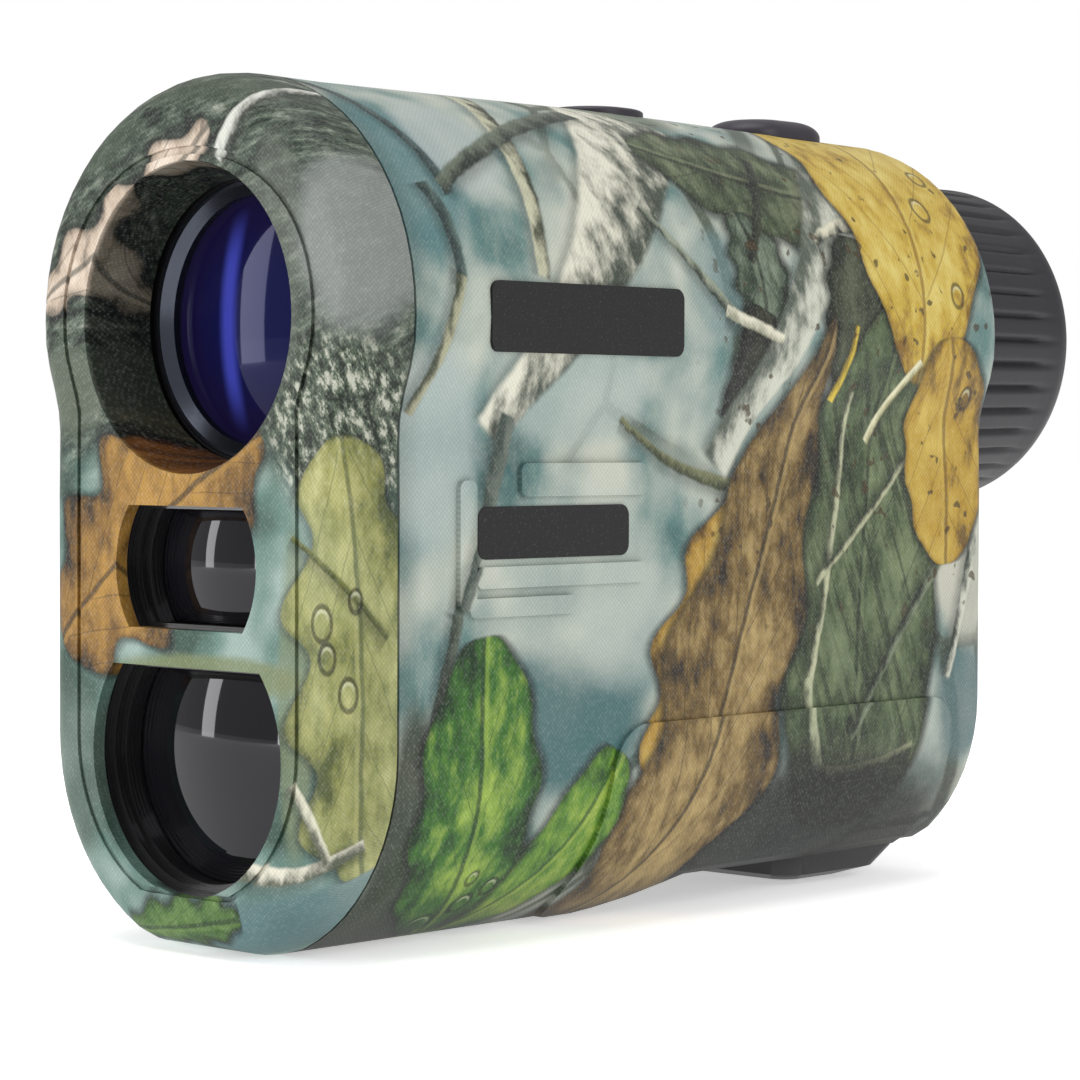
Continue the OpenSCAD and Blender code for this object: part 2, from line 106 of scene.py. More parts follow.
# ---- Node materials --------------------------------------------------------
class Wire:
    """A node's output socket. Arithmetic on it adds Math nodes."""

    def __init__(self, finish, socket):
        self.finish = finish
        self.socket = socket

    def math(self, operation, *values):
        return self.finish.node(
            "ShaderNodeMath", {"operation": operation}, dict(enumerate(values)))

    def __add__(self, other):
        return self.math("ADD", self, other)

    __radd__ = __add__

    def __sub__(self, other):
        return self.math("SUBTRACT", self, other)

    def __rsub__(self, other):
        return self.math("SUBTRACT", other, self)

    def __mul__(self, other):
        return self.math("MULTIPLY", self, other)

    __rmul__ = __mul__

    def __truediv__(self, other):
        return self.math("DIVIDE", self, other)

    def __pow__(self, other):
        return self.math("POWER", self, other)

    def __abs__(self):
        return self.math("ABSOLUTE", self)

    def most(self, other):
        return self.math("MAXIMUM", self, other)

    def least(self, other):
        return self.math("MINIMUM", self, other)

    def sine(self):
        return self.math("SINE", self)

    def fraction(self):
        return self.math("FRACT", self)


class Finish:
    """A node material while it is put together."""

    def __init__(self, name):
        self.material = bpy.data.materials.new(name)
        self.material.use_nodes = True
        self.tree = self.material.node_tree
        self.tree.nodes.clear()

    def node(self, kind, settings=None, values=None, out=0):
        made = self.tree.nodes.new(kind)
        for key, value in (settings or {}).items():
            if key == "stops":
                stops = made.color_ramp.elements
                while len(stops) < len(value):
                    stops.new(0.5)
                for stop, (place, colour) in zip(stops, value):
                    stop.position = place
                    stop.color = colour
            else:
                setattr(made, key, value)
        for key, value in (values or {}).items():
            if isinstance(value, Wire):
                self.tree.links.new(value.socket, made.inputs[key])
            else:
                made.inputs[key].default_value = value
        return Wire(self, made.outputs[out])

    def place(self):
        """Object coordinates, in millimetres."""
        here = self.node("ShaderNodeTexCoord", out="Object")
        return self.node("ShaderNodeVectorMath", {"operation": "SCALE"},
                         {0: here, "Scale": 1 / MM})

    def split(self, vector):
        made = self.tree.nodes.new("ShaderNodeSeparateXYZ")
        self.tree.links.new(vector.socket, made.inputs[0])
        return [Wire(self, s) for s in made.outputs]

    def join(self, x, y, z=0.0):
        return self.node("ShaderNodeCombineXYZ", None, {0: x, 1: y, 2: z})

    def noise(self, vector, scale, detail=2.0, rough=0.5):
        return self.node("ShaderNodeTexNoise", None, {
            "Vector": vector, "Scale": scale, "Detail": detail, "Roughness": rough})

    def step(self, value, low, high):
        """0 below low, 1 above high and smooth between; falls if low is the larger."""
        return self.node("ShaderNodeMapRange", {"interpolation_type": "SMOOTHSTEP", "clamp": False},
                         {0: value, 1: low, 2: high})

    def mix(self, amount, a, b):
        return self.node("ShaderNodeMix", {"data_type": "RGBA"}, {0: amount, 6: a, 7: b}, 2)

    def tint(self, amount, a, b):
        """a, multiplied by the colour b as far as amount says."""
        return self.node("ShaderNodeMix", {"data_type": "RGBA", "blend_type": "MULTIPLY"},
                         {0: amount, 6: a, 7: b}, 2)

    def tones(self, value, dark, middle, light):
        """Three tones of a texture whose values lie about 0.5."""
        return self.node("ShaderNodeValToRGB", {"stops": [
            (0.36, rgb(*dark)), (0.48, rgb(*middle)), (0.66, rgb(*light))]}, {0: value})

    def bump(self, height, distance, strength=1.0):
        return self.node("ShaderNodeBump", None, {
            "Height": height, "Distance": distance, "Strength": strength})

    def done(self, **sockets):
        """Closes the material with a Principled shader. Names use _ for a space."""
        names = {key.replace("_", " "): value for key, value in sockets.items()}
        shader = self.node("ShaderNodeBsdfPrincipled", None, names)
        self.node_out(shader)
        return self.material

    def node_out(self, shader):
        out = self.tree.nodes.new("ShaderNodeOutputMaterial")
        self.tree.links.new(shader.socket, out.inputs["Surface"])


def plain(name, colour, rough, metal=0.0, coat=0.0, grain=0.0):
    """One colour with a fine grain in its roughness and height."""
    f = Finish(name)
    fine = f.noise(f.place(), 2.0, 3.0)
    values = dict(Base_Color=f.mix(fine, colour, tuple(c * 0.82 for c in colour[:3]) + (1.0,)),
                  Roughness=fine * 0.12 + (rough - 0.06), Metallic=metal, Coat_Weight=coat)
    if grain:
        values["Normal"] = f.bump(fine, grain * MM)
    return f.done(**values)


# ---- The print -------------------------------------------------------------
# A print coordinate is a place on the unrolled skin, in millimetres: u runs
# back from the front rim and on across the back, v runs up the side, over the
# round top and in under the round bottom. The far side has the print turned about.
TOP_ARC = 20.2
BOTTOM_ARC = 18.4
FAR_SIDE_START = 97
BACK_CORNER = 19
BRANCHES = {
    # name: (u0, v0, u1, v1, half width at each end, bow, one side, other side)
    "trunk": (45, 78, 17, 43.5, 6.0, 1.7, 0.6, (226, 222, 206), (66, 74, 64)),
    "trunk_foot": (19.2, 45, 13.2, 28, 1.0, 0.6, 0.5, (56, 68, 62), (104, 112, 104)),
    "trunk_toe": (13.4, 28.4, 9.2, 16, 0.6, 0.5, 0.3, (44, 54, 46), (88, 96, 84)),
    "wisp": (6.6, 80, 13.2, 63.5, 0.5, 0.6, 0.8, (34, 50, 50), (74, 92, 92)),
    "wisp_mid": (10.2, 64.4, 12.2, 55.8, 0.75, 0.6, 0.7, (36, 52, 50), (84, 102, 98)),
    "wisp_foot": (12.3, 56.4, 7.4, 45, 0.6, 0.5, 0.3, (60, 66, 50), (170, 168, 140)),
    "shoot": (27.0, 80, 22.2, 56.5, 1.2, 0.7, -0.9, (196, 194, 168), (50, 54, 38)),
    "cross_shoot": (12.6, 64.2, 38.5, 77.2, 0.7, 1.1, 0.8, (34, 42, 36), (104, 112, 98)),
    "twig_a": (36.6, 63.6, 47, 53.8, 0.3, 0.6, -0.3, (40, 50, 42), (150, 156, 138)),
    "twig_b": (33.5, 44.8, 49.8, 38.8, 0.3, 0.7, -1.2, (58, 64, 44), (120, 122, 88)),
}
# These lie over the shaded leaves
LIMBS = {
    "stick": (57.4, 71, 50, 59, 0.55, 0.5, 0.3, (22, 26, 20), (52, 58, 44)),
    "limb": (70.0, 73, 46.6, 40.6, 3.3, 1.8, 0.0, (84, 92, 82), (206, 206, 192)),
    "across": (45.6, 54.4, 53.8, 52, 0.6, 0.5, 0.0, (150, 150, 130), (226, 220, 200)),
    "claw": (60.5, 61.5, 70, 63.5, 0.5, 1.0, 0.8, (40, 46, 38), (220, 214, 192)),
}
TWIGS = {
    "rib": (65.6, 47.4, 60.3, 20, 0.35, 0.5, 0.7, (52, 58, 42), (190, 190, 158)),
    "rib_foot": (60.2, 21, 62.6, 11.5, 0.6, 0.8, -0.8, (52, 60, 44), (178, 182, 150)),
    "rib_toe": (62.4, 12, 76.5, 13.8, 0.7, 0.4, -1.0, (44, 50, 38), (150, 152, 120)),
    "rear_twig": (87.5, 38, 66.5, 15, 0.7, 0.4, -0.6, (28, 34, 26), (120, 130, 106)),
    "mid_twig": (75, 41, 61.3, 29.8, 0.35, 0.35, 0.3, (44, 50, 38), (182, 182, 150)),
    "rear_stem": (88.5, 43, 82, 20, 0.9, 0.5, 0.6, (40, 50, 40), (204, 204, 190)),
    "spear": (64.9, 53.6, 62.4, 46.6, 0.3, 0.55, 0.2, (120, 100, 30), (214, 186, 66)),
}
LEAVES = {
    # name: (u, v of the stalk, u, v of the tip, half width, blunt stalk, blunt tip,
    #        lobes, bow, veins, dark, middle and light colour)
    "shade_a": (66, 66.0, 41.0, 71.5, 6.2, .5, .6, .08, 1.2, 3,
                (34, 40, 28), (72, 84, 60), (130, 136, 106)),
    "shade_b": (50, 64, 51, 51.8, 3.8, .5, .5, .1, 0.6, 2, (26, 34, 26), (60, 74, 58), (126, 138, 120)),
    "shade_c": (51.0, 54.8, 47.2, 44.8, 2.6, .3, .7, .05, 0.4, 0,
                (18, 19, 15), (34, 36, 28), (62, 64, 48)),
    "gap": (66, 62.5, 63.8, 47, 4.6, .5, .5, .08, 0.0, 0, (22, 26, 18), (40, 46, 34), (84, 90, 70)),
    "olive": (67.0, 5, 71.5, 56, 12.2, .45, .6, .03, 1.0, 4, (30, 40, 26), (70, 84, 56), (118, 130, 94)),
    "ochre": (40, 4, 53, 41, 6.2, .5, .6, .2, 1.6, 4, (96, 70, 26), (176, 138, 56), (210, 180, 98)),
    "brown": (36.5, -8, 61.8, 55, 8.8, .6, 1.0, .14, -0.4, 6,
              (44, 34, 24), (114, 90, 48), (184, 158, 104)),
    "yellow": (75.3, 48.0, 81.0, 87, 11.8, .62, .35, .05, 1.0, 5,
               (132, 98, 34), (196, 164, 62), (220, 198, 112)),
    "yellow_lobe": (80.2, 53, 81.8, 30.8, 6.6, .5, .5, .04, 0.6, 4,
                    (112, 84, 30), (180, 144, 48), (206, 176, 84)),
    "green_b": (19.5, -6.5, 33.6, 16.2, 4.7, .45, .42, .04, -1.2, 6,
                (34, 74, 22), (92, 136, 42), (168, 188, 80)),
    "green_a": (20.2, -5, 16.6, 26.8, 7.2, .62, .5, .06, 1.6, 6,
                (16, 50, 18), (56, 106, 34), (156, 182, 76)),
}
# The same, on the bezel: u runs across the front face and on round its edge
BEZEL_LEAVES = {
    "rust": (-16.5, 25.5, 9.5, 43.5, 8.0, .5, .6, .22, 1.4, 6,
             (40, 30, 20), (118, 84, 34), (176, 132, 60)),
    "lime": (18.8, 43.5, 20.2, 4.5, 7.6, .5, .5, .24, 1.6, 5,
             (92, 98, 50), (158, 158, 88), (206, 202, 132)),
    "pale": (-20.5, 54.5, 3, 69.0, 3.2, .5, .5, .3, -1.4, 2,
             (72, 70, 62), (190, 170, 152), (228, 210, 194)),
    "moss": (-8, 0.5, 7, 3.5, 2.8, .5, .5, .2, 0, 3, (32, 56, 26), (70, 104, 48), (112, 140, 74)),
}
BEZEL_BRANCHES = {
    "streak": (4, 66, 15, 79, 0.9, 0.6, 0.8, (60, 62, 56), (214, 214, 206)),
    "fork": (4, 8, 21, 8.5, 0.9, 0.7, -0.8, (88, 92, 78), (222, 216, 200)),
    "fork_b": (13, 15, 17, 8, 0.6, 0.5, 0.6, (96, 98, 84), (214, 210, 190)),
    "vein": (13, 35, 24, 27, 0.3, 0.3, 0.5, (70, 76, 40), (112, 116, 64)),
    "stalk": (-9, 52, 2, 42, 0.8, 1.6, 0.5, (62, 46, 30), (120, 84, 48)),
}
DROPS = [(17.5, -1.5, 1.5), (20.5, 1.6, 1.0), (22.5, 3.6, 0.8), (80.5, 66.5, 1.1),
         (84.5, 71.5, 0.9), (81.5, 57, 0.9), (84, 47, 0.8), (19.5, 5, 0.6)]
BEZEL_DROPS = [(16.6, 28.2, 1.1), (17.2, 25.4, 0.9), (19.6, 22.5, 1.0), (20.4, 30.0, 0.7)]


def run(f, u, v, u0, v0, u1, v1, bow, wander):
    """How far along a stroke a place is, 0 to 1, and how far beside it in millimetres.

    The stroke is a straight line bent into a parabola: the distance beside it is the
    distance from the line less bow times 4 t (1 - t).
    """
    length = math.hypot(u1 - u0, v1 - v0)
    c, s = (u1 - u0) / length, (v1 - v0) / length
    t = (u * c + v * s - (u0 * c + v0 * s)) / length
    beside = v * c - u * s - (v0 * c - u0 * s)
    return t, beside - t * (1 - t) * (4 * bow) + wander


def branch(f, colour, u, v, wander, grain, spec):
    """A branch: its half width changes evenly from w0 to w1, and it is lit on one side."""
    u0, v0, u1, v1, w0, w1, bow, dark, light = spec
    t, beside = run(f, u, v, u0, v0, u1, v1, bow, wander)
    half = t * (w1 - w0) + w0
    soft = 0.16 + 0.05 * max(w0, w1)
    inside = f.step(half - abs(beside), -soft, soft)
    ends = f.step(t, -0.01, 0.01) * f.step(t, 1.01, 0.99)
    colour = f.tint(f.step(half - abs(beside + 0.5), -1.0, 0.4) * ends * 0.45, colour,
                    rgb(60, 72, 70))
    inside = inside * ends
    lit = beside / half * 0.45 + grain * 2.6 - 0.8
    body = f.mix(f.step(lit, 0.0, 1.0), rgb(*dark), rgb(*light))
    return f.mix(inside, colour, body)


def leaf(f, colour, u, v, wander, grain, spec, weight=1.0):
    """A leaf about a midrib: half width = size t^a (1-t)^b (1 + lobes sin), with veins."""
    u0, v0, u1, v1, size, a, b, lobes, bow, veins, dark, middle, light = spec
    t, beside = run(f, u, v, u0, v0, u1, v1, bow, wander * 0.35)
    held = t.most(0.001).least(0.999)
    peak = (a / (a + b)) ** a * (b / (a + b)) ** b
    half = (held ** a) * ((1 - held) ** b) * (size / peak)
    half = half * ((t * 26 + beside * 0.2).sine() * lobes + 1)
    edge = half - abs(beside)
    ends = f.step(t, 0.0, 0.02) * f.step(t, 1.0, 0.985)
    inside = f.step(edge, -0.05, 0.3) * ends
    shade = f.step(edge, -1.1, 0.1) * 0.75 * ends
    colour = f.tint(shade * weight, colour, rgb(40, 46, 44))
    tone = grain + f.step(edge, 0.0, size * 0.6) * 0.09 - 0.05
    body = f.tones(tone, dark, middle, light)
    if veins:
        rib = f.step(abs(beside), 0.4, 0.12)
        side = abs((t * veins - abs(beside) * (0.42 * veins / size)).fraction() - 0.5)
        side = f.step(side, 0.465, 0.49) * 0.6
        body = f.mix((rib.most(side)) * 0.7, body, rgb(*dark))
        body = f.mix(f.step(abs(beside + 0.5), 0.4, 0.1) * 0.4, body, rgb(*light))
    body = f.tint(f.step(edge, 0.9, 0.1) * 0.45 * weight, body, rgb(*dark))
    return f.mix(inside * weight, colour, body)


def drop(f, colour, u, v, spec):
    """A drop of water: a dark ring with a light rim on one side."""
    cu, cv, r = spec
    du, dv = u - cu, v - cv
    far = (du * du + dv * dv * 0.6) ** 0.5
    ring = f.step(abs(far - r), 0.28, 0.08)
    colour = f.tint(ring * 0.7, colour, rgb(70, 66, 40))
    glint = f.step(abs(far - r * 0.72), 0.2, 0.05) * f.step(dv, 0.0, r)
    return f.mix(glint * 0.45, colour, rgb(226, 226, 196))


def blob(f, amount, colour, u, v, cu, cv, ru, rv, paint, wander):
    """An oval patch of paint with a soft, wandering edge."""
    du, dv = (u - cu) / ru, (v - cv) / rv
    far = (du * du + dv * dv) ** 0.5 + wander * 0.12
    return f.mix(f.step(far, 1.15, 0.7) * amount, colour, rgb(*paint))


def weave(f, u, v):
    """The fine dots of the print, 1 at a dot and 0 between."""
    pitch = 2 * math.pi / 0.46
    return (u * pitch).sine() * (v * pitch).sine() * 0.5 + 0.5


def skin(f, colour, u, v, here):
    """Closes a printed material: dots, fine grain and a low satin gloss."""
    dots = weave(f, u, v)
    grain = f.noise(here, 3.2, 2.0)
    colour = f.tint(1.0, colour, rgb(232, 234, 232))
    colour = f.tint((1 - dots) * 0.2, colour, rgb(120, 120, 120))
    colour = f.mix(dots * f.step(grain, 0.4, 0.75) * 0.09, colour, rgb(236, 240, 232))
    relief = dots * 0.35 + grain
    return f.done(Base_Color=colour, Roughness=grain * 0.16 + 0.40, Metallic=0.0,
                  Specular_IOR_Level=0.22, Normal=f.bump(relief, 0.035 * MM, 0.8))


def shell_print():
    """The print on the housing: water-grey blur, branches, twigs and leaves, with painted shade low down
    and by the bezel and a painted highlight on the label frame.
    """
    f = Finish("housing_print")
    here = f.place()
    x, y, z = f.split(here)
    axis, low = AXIS_H / MM, LOW_H / MM
    across = abs(x).most(0.01)
    over = (z - axis).most(0).math("ARCTAN2", (z - axis).most(0), across)
    under = (low - z).most(0).math("ARCTAN2", (low - z).most(0), across)
    v = z.most(low).least(axis) + over * TOP_ARC - under * BOTTOM_ARC
    u = y + HALF_L / MM + (BACK_CORNER - across).most(0) * f.step(y, 34.6, 35.4)
    near = f.step(x, -0.01, 0.01)
    u = u * near + (1 - near) * (FAR_SIDE_START - u)
    broad = f.noise(here, 0.045, 1.0)
    mid = f.noise(here, 0.11, 2.0)
    grain = f.noise(f.join(u * 1.0, v * 0.5), 0.55, 5.0, 0.62)
    wander = (f.noise(here, 0.16, 3.0, 0.6) - 0.5) * 3.2
    fine = (f.noise(here, 0.9, 2.0) - 0.5) * 0.7
    wander = wander * 0.5 + fine
    colour = f.node("ShaderNodeValToRGB", {"stops": [
        (0.32, rgb(46, 90, 92)), (0.44, rgb(92, 126, 124)),
        (0.53, rgb(156, 168, 162)), (0.64, rgb(196, 198, 186))]}, {0: mid * 0.75 + broad * 0.3})
    colour = f.mix(f.step(grain, 0.35, 0.75) * 0.22, colour, rgb(200, 202, 190))
    bent = f.join(u * 0.055 + wander * 0.03, v * 0.04 + wander * 0.02)
    web = f.node("ShaderNodeTexVoronoi", {"feature": "DISTANCE_TO_EDGE"},
                 {"Vector": bent, "Scale": 1.0, "Randomness": 1.0})
    thread = f.step(web, 0.03, 0.012) * f.step(broad, 0.4, 0.5) * f.step(u, 24, 34)
    colour = f.tint(f.step(web, 0.07, 0.02) * f.step(u, 24, 34) * 0.35, colour,
                    rgb(120, 136, 130))
    colour = f.mix(thread * 0.85, colour, rgb(62, 72, 58))
    for cu, cv, ru, rv, paint, amount in (
            (9, 66, 7, 9, (84, 122, 126), .8), (25, 19, 13, 7, (56, 100, 104), .9),
            (10, 42, 6, 9, (170, 182, 180), .8), (27, 47, 10, 5, (166, 178, 174), .8),
            (17, 70, 5, 7, (176, 184, 182), .8), (34, 27, 6, 6, (160, 172, 168), .6),
            # The patch at (29, 31, 11, 9) is a painted highlight that lightens the raised frame round
            # the lower label.
            (45, 57, 5, 5, (108, 136, 138), .6), (29, 31, 11, 9, (188, 194, 186), .6),
            (85, 30, 5, 7, (196, 192, 178), .8), (85, 17, 5, 6, (82, 110, 114), .8),
            (52, 45, 8, 6, (132, 150, 146), .6), (13, -2, 9, 14, (40, 50, 30), .92),
            (8.5, 12, 2.6, 10, (40, 52, 34), .9), (45, 79, 9, 5, (104, 108, 88), .7)):
        colour = blob(f, amount, colour, u, v, cu, cv, ru, rv, paint, wander)
    for spec in BRANCHES.values():
        colour = branch(f, colour, u, v, wander * 0.5, grain, spec)
    cloud = grain * 0.6 + mid * 0.5 - 0.06
    for name in ("shade_a", "shade_b", "shade_c"):
        colour = leaf(f, colour, u, v, wander, cloud, LEAVES[name])
    for spec in LIMBS.values():
        colour = branch(f, colour, u, v, wander * 0.6, grain, spec)
    for name in ("gap", "olive"):
        colour = leaf(f, colour, u, v, wander, cloud, LEAVES[name])
    stripes = f.noise(f.join(u * 0.9 + v * 0.4, v * 0.08), 0.8, 2.0)
    inside_olive = f.step(abs(u - 69), 10, 6) * f.step(abs(v - 30), 24, 14)
    colour = f.mix(f.step(stripes, 0.52, 0.62) * inside_olive * 0.5, colour, rgb(112, 124, 94))
    colour = f.mix(f.step(stripes, 0.46, 0.38) * inside_olive * 0.6, colour, rgb(26, 34, 24))
    for spec in TWIGS.values():
        colour = branch(f, colour, u, v, wander * 0.4, grain, spec)
    colour = blob(f, 0.95, colour, u, v, 64, 1, 27, 14, (13, 16, 11), wander)
    spots = f.step(f.noise(here, 0.62, 2.0, 0.4), 0.66, 0.71)
    for name in ("ochre", "brown", "yellow", "yellow_lobe", "green_b", "green_a"):
        colour = leaf(f, colour, u, v, wander, cloud, LEAVES[name])
        if name == "yellow_lobe":
            colour = f.mix(spots * f.step(u, 40, 48) * f.step(v, 22, 30) * 0.8, colour,
                           rgb(66, 50, 26))
    stem = (68.8, 42.8, 75.5, 50.4, 0.4, 0.45, 0.4, (150, 146, 104), (230, 224, 190))
    colour = branch(f, colour, u, v, wander * 0.2, grain, stem)
    for spec in DROPS:
        colour = drop(f, colour, u, v, spec)
    # Painted shade: the skin darkens towards the round bottom and under it.
    colour = f.tint(f.step(v, 6, -9) * 0.85, colour, rgb(84, 78, 58))
    # Painted shade: a darker band on the housing just behind its seam with the bezel.
    colour = f.tint(f.step(u, 9.5, 6.4) * 0.35, colour, rgb(120, 124, 120))
    return skin(f, colour, u, v, here)


def bezel_print():
    """The print on the bezel: bark above, leaves below, carried round the edge."""
    f = Finish("bezel_print")
    here = f.place()
    x, y, z = f.split(here)
    axis, low = AXIS_H / MM, LOW_H / MM
    up = z - z.most(low).least(axis)
    far = (x * x + up * up + 0.01) ** 0.5
    depth = (y + HALF_L / MM).most(0)
    u = x + x / far * depth
    v = z + up / far * depth
    mid = f.noise(here, 0.12, 2.0)
    bark = f.noise(f.join(u * 0.45 + v * 0.25, v * 1.3 - u * 0.5), 0.55, 6.0, 0.7)
    grain = f.noise(f.join(u, v * 0.5), 0.6, 5.0, 0.62)
    wander = (f.noise(here, 0.2, 3.0, 0.6) - 0.5) * 2.2
    upper = f.node("ShaderNodeValToRGB", {"stops": [
        (0.40, rgb(22, 30, 24)), (0.5, rgb(60, 72, 60)), (0.6, rgb(108, 116, 104)),
        (0.72, rgb(178, 180, 166))]}, {0: bark})
    lower = f.node("ShaderNodeValToRGB", {"stops": [
        (0.36, rgb(52, 78, 68)), (0.5, rgb(98, 128, 120)), (0.64, rgb(150, 170, 164))]}, {0: mid})
    colour = f.mix(f.step(v + wander * 2, 44, 38), upper, lower)
    speckle = f.noise(f.join(u * 1.2 + v * 0.4, v * 0.8), 0.8, 4.0, 0.7)
    patch = blob(f, 1.0, rgb(0, 0, 0), u, v, 19, 44, 9, 8, (255, 255, 255), wander)
    rough_bark = f.node("ShaderNodeValToRGB", {"stops": [
        (0.42, rgb(30, 38, 30)), (0.52, rgb(84, 96, 80)), (0.62, rgb(186, 186, 172))]}, {0: speckle})
    colour = f.mix(patch, colour, rough_bark)
    for cu, cv, ru, rv, paint, amount in (
            (21, 60, 8, 9, (136, 140, 138), .85), (11, 58, 3.4, 11, (96, 102, 94), .6),
            (2, 74, 12, 3, (70, 80, 66), .7), (-14, 69, 8, 4, (64, 78, 62), .7),
            (12, 1, 12, 5, (88, 118, 122), .85), (22, 3, 5, 8, (116, 136, 134), .7),
            (-15, 14, 5, 9, (78, 92, 84), .7), (3, 23.4, 13, 1.8, (118, 126, 84), .8),
            (-15, 47, 5, 4, (92, 100, 86), .8), (13.5, 22, 2.2, 14, (120, 128, 92), .6)):
        colour = blob(f, amount, colour, u, v, cu, cv, ru, rv, paint, wander)
    cloud = grain * 0.6 + mid * 0.5 - 0.06
    for name, spec in BEZEL_LEAVES.items():
        colour = leaf(f, colour, u, v, wander, cloud, spec, 0.7 if name == "lime" else 1.0)
    for spec in BEZEL_BRANCHES.values():
        colour = branch(f, colour, u, v, wander * 0.4, grain, spec)
    for spec in BEZEL_DROPS:
        colour = drop(f, colour, u, v, spec)
    inward = f.step((x * x + (z - axis) * (z - axis)) ** 0.5, 13.0, 12.9)
    shadow = f.mix(f.step(z, 47, 42), rgb(84, 92, 80), rgb(168, 118, 62))
    colour = f.tint(inward * 0.8, colour, shadow)
    return skin(f, colour, u, v, here)


# ---- The other finishes ----------------------------------------------------
def label_finish():
    """Matt black plate with a fine glitter."""
    f = Finish("label_black")
    here = f.place()
    fine = f.noise(here, 5.0, 2.0)
    return f.done(Base_Color=f.mix(f.step(fine, 0.60, 0.72), rgb(12, 12, 14), rgb(54, 52, 56)),
                  Roughness=fine * 0.2 + 0.42, Metallic=0.0, Specular_IOR_Level=0.3,
                  Normal=f.bump(fine, 0.03 * MM, 0.6))


def barrel_finish():
    """Satin black metal, turned: fine rings along Y."""
    f = Finish("barrel_black")
    x, y, z = f.split(f.place())
    rings = (y * (2 * math.pi / 0.42)).sine()
    return f.done(Base_Color=rgb(15, 15, 17), Roughness=rings * 0.05 + 0.32, Metallic=0.0,
                  Coat_Weight=0.25, Normal=f.bump(rings, 0.012 * MM, 0.7))


def glass_finish(name, core, rim, radius, at_h, index, tint, streak=None):
    """Coated glass: dark in the middle, another colour at its rim, and an upright painted reflection in
    the streak colour.
    """
    f = Finish(name)
    x, y, z = f.split(f.place())
    dz = z - at_h / MM
    far = (x * x + dz * dz) ** 0.5 / (radius / MM)
    colour = f.mix(f.step(far, 0.35, 1.0), core, rim)
    if streak:
        # Painted reflection: an upright, slightly curved streak of the streak colour that fades towards
        # the rim.
        painted_reflection = f.step(abs(x + 3.4 - dz * dz * 0.012), 1.5, 0.2) * f.step(far, 0.95, 0.5)
        colour = f.mix(painted_reflection * 0.55, colour, streak)
    return f.done(Base_Color=colour, Roughness=0.03, Metallic=0.0, IOR=index,
                  Specular_Tint=tint)


def rubber_finish(name, colour, rough, grain):
    """Moulded rubber with a faint dust in its grain."""
    f = Finish(name)
    here = f.place()
    fine = f.noise(here, 2.6, 4.0, 0.6)
    return f.done(Base_Color=f.mix(f.step(fine, 0.55, 0.8) * 0.5, colour, rgb(52, 48, 56)),
                  Roughness=fine * 0.14 + rough, Metallic=0.0, Specular_IOR_Level=0.4,
                  Normal=f.bump(fine, grain * MM, 0.5))


def finishes():
    """Every material of the instrument, by its slot."""
    kit = bpy.context.scene.rangefinder_colours
    rubber = tuple(kit.rubber) + (1.0,)
    return {
        "printed_shell": shell_print(),
        "bezel_print": bezel_print(),
        "label_black": label_finish(),
        "seal_rubber": plain("seal_rubber", rgb(16, 16, 17), 0.6),
        "black_barrel": barrel_finish(),
        "lens_ring": plain("lens_ring", rgb(72, 76, 86), 0.22, metal=0.9),
        # The last colour of the objective glass is painted in as a blue reflection streak.
        "objective_glass": glass_finish("objective_glass", rgb(14, 16, 58), rgb(20, 14, 46),
                                        10.9 * MM, AXIS_H, 1.26, (0.50, 0.52, 1.0, 1.0),
                                        rgb(70, 78, 190)),
        "coated_glass": glass_finish("coated_glass", rgb(7, 7, 9), rgb(14, 13, 17),
                                     10.0 * MM, 16.5 * MM, 1.42, (0.95, 0.95, 1.0, 1.0)),
        "prism_glass": plain("prism_glass", rgb(120, 150, 160), 0.1, coat=0.6),
        "frame_metal": plain("frame_metal", rgb(70, 72, 76), 0.45, metal=0.6, grain=0.02),
        "steel": plain("steel", rgb(170, 172, 176), 0.3, metal=1.0),
        "gold_contact": plain("gold_contact", rgb(214, 170, 84), 0.3, metal=1.0),
        "circuit_board": plain("circuit_board", rgb(24, 78, 46), 0.45, coat=0.3),
        "chip_black": plain("chip_black", rgb(28, 28, 30), 0.5),
        "grip_rubber": rubber_finish("grip_rubber", rubber, 0.42, 0.03),
        "button_rubber": rubber_finish("button_rubber", tuple(kit.button) + (1.0,), 0.36, 0.02),
        "bay_plastic": plain("bay_plastic", rgb(30, 30, 32), 0.5, grain=0.03),
        "cell_wrap": plain("cell_wrap", rgb(206, 160, 60), 0.35, coat=0.3),
        "door_plastic": rubber_finish("door_plastic", rgb(24, 23, 26), 0.34, 0.03),
        "lug_metal": plain("lug_metal", rgb(46, 47, 50), 0.4, metal=0.5),
    }


FINISHES = {}


def finish_named(name):
    if not FINISHES:
        FINISHES.update(finishes())
    return FINISHES[name]


# ---- Making pieces ---------------------------------------------------------
def dress(obj, node, slot, finish=None, also=()):
    """Gives a piece the material of its slot, and puts it in its node's place."""
    obj.data.materials.clear()
    obj.data.materials.append(finish_named(finish or slot))
    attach(obj, frame["nodes"][node]["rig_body"])
    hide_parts(node, *also)
    return obj


def merged(node, slot, finish=None):
    """A copy of a CAD node with its doubles merged and its rounded faces smooth."""
    mesh = frame["nodes"][node].data.copy()
    shape = bmesh.new()
    shape.from_mesh(mesh)
    bmesh.ops.remove_doubles(shape, verts=shape.verts, dist=2e-6)
    bmesh.ops.dissolve_degenerate(shape, edges=shape.edges, dist=1e-6)
    shape.to_mesh(mesh)
    shape.free()
    for name in ("custom_normal", "sharp_face"):
        if name in mesh.attributes:
            mesh.attributes.remove(mesh.attributes[name])
    mesh.shade_smooth()
    mesh.set_sharp_from_angle(angle=CAD_EDGE)
    obj = bpy.data.objects.new(node + "_piece", mesh)
    bpy.context.scene.collection.objects.link(obj)
    return dress(obj, node, slot, finish)


